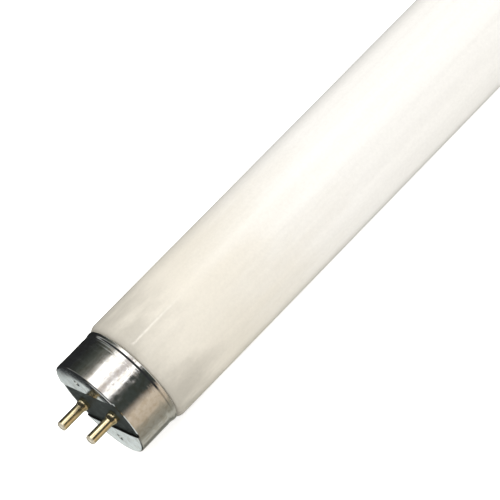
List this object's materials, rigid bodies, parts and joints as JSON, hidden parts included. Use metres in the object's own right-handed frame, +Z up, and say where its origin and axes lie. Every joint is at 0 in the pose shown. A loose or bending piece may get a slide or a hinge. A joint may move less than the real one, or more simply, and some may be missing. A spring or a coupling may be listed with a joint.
{
  "type": "fluorescent tube",
  "caption": "Straight white fluorescent lamp tube: round coated glass with a metal cap at each end, a dark insulating strip across the cap face and brass contact pins.",
  "frame": {"origin": "middle of the tube, on its axis", "axes": "+X along the tube towards the right cap, +Y along the line of the two pins, +Z up as the tube lies"},
  "size_m": [0.604, 0.026, 0.026],
  "materials": {
    "coated_glass": "clear glossy glass over a white powder coating, opaque",
    "cap_metal": "bright drawn sheet metal",
    "insulating_plate": "satin laminated board",
    "pin_brass": "polished",
    "lead_wire": "drawn wire",
    "capping_cement": "matt baked cement"
  },
  "bodies": {
    "root": {"glass_tube": "coated_glass", "left_cap_shell": "cap_metal", "right_cap_shell": "cap_metal", "left_insulator": "insulating_plate", "right_insulator": "insulating_plate", "left_front_pin": "pin_brass", "left_rear_pin": "pin_brass", "right_front_pin": "pin_brass", "right_rear_pin": "pin_brass", "left_front_lead": "lead_wire", "left_rear_lead": "lead_wire", "right_front_lead": "lead_wire", "right_rear_lead": "lead_wire", "left_cement": "capping_cement", "right_cement": "capping_cement"}
  },
  "joints": []
}
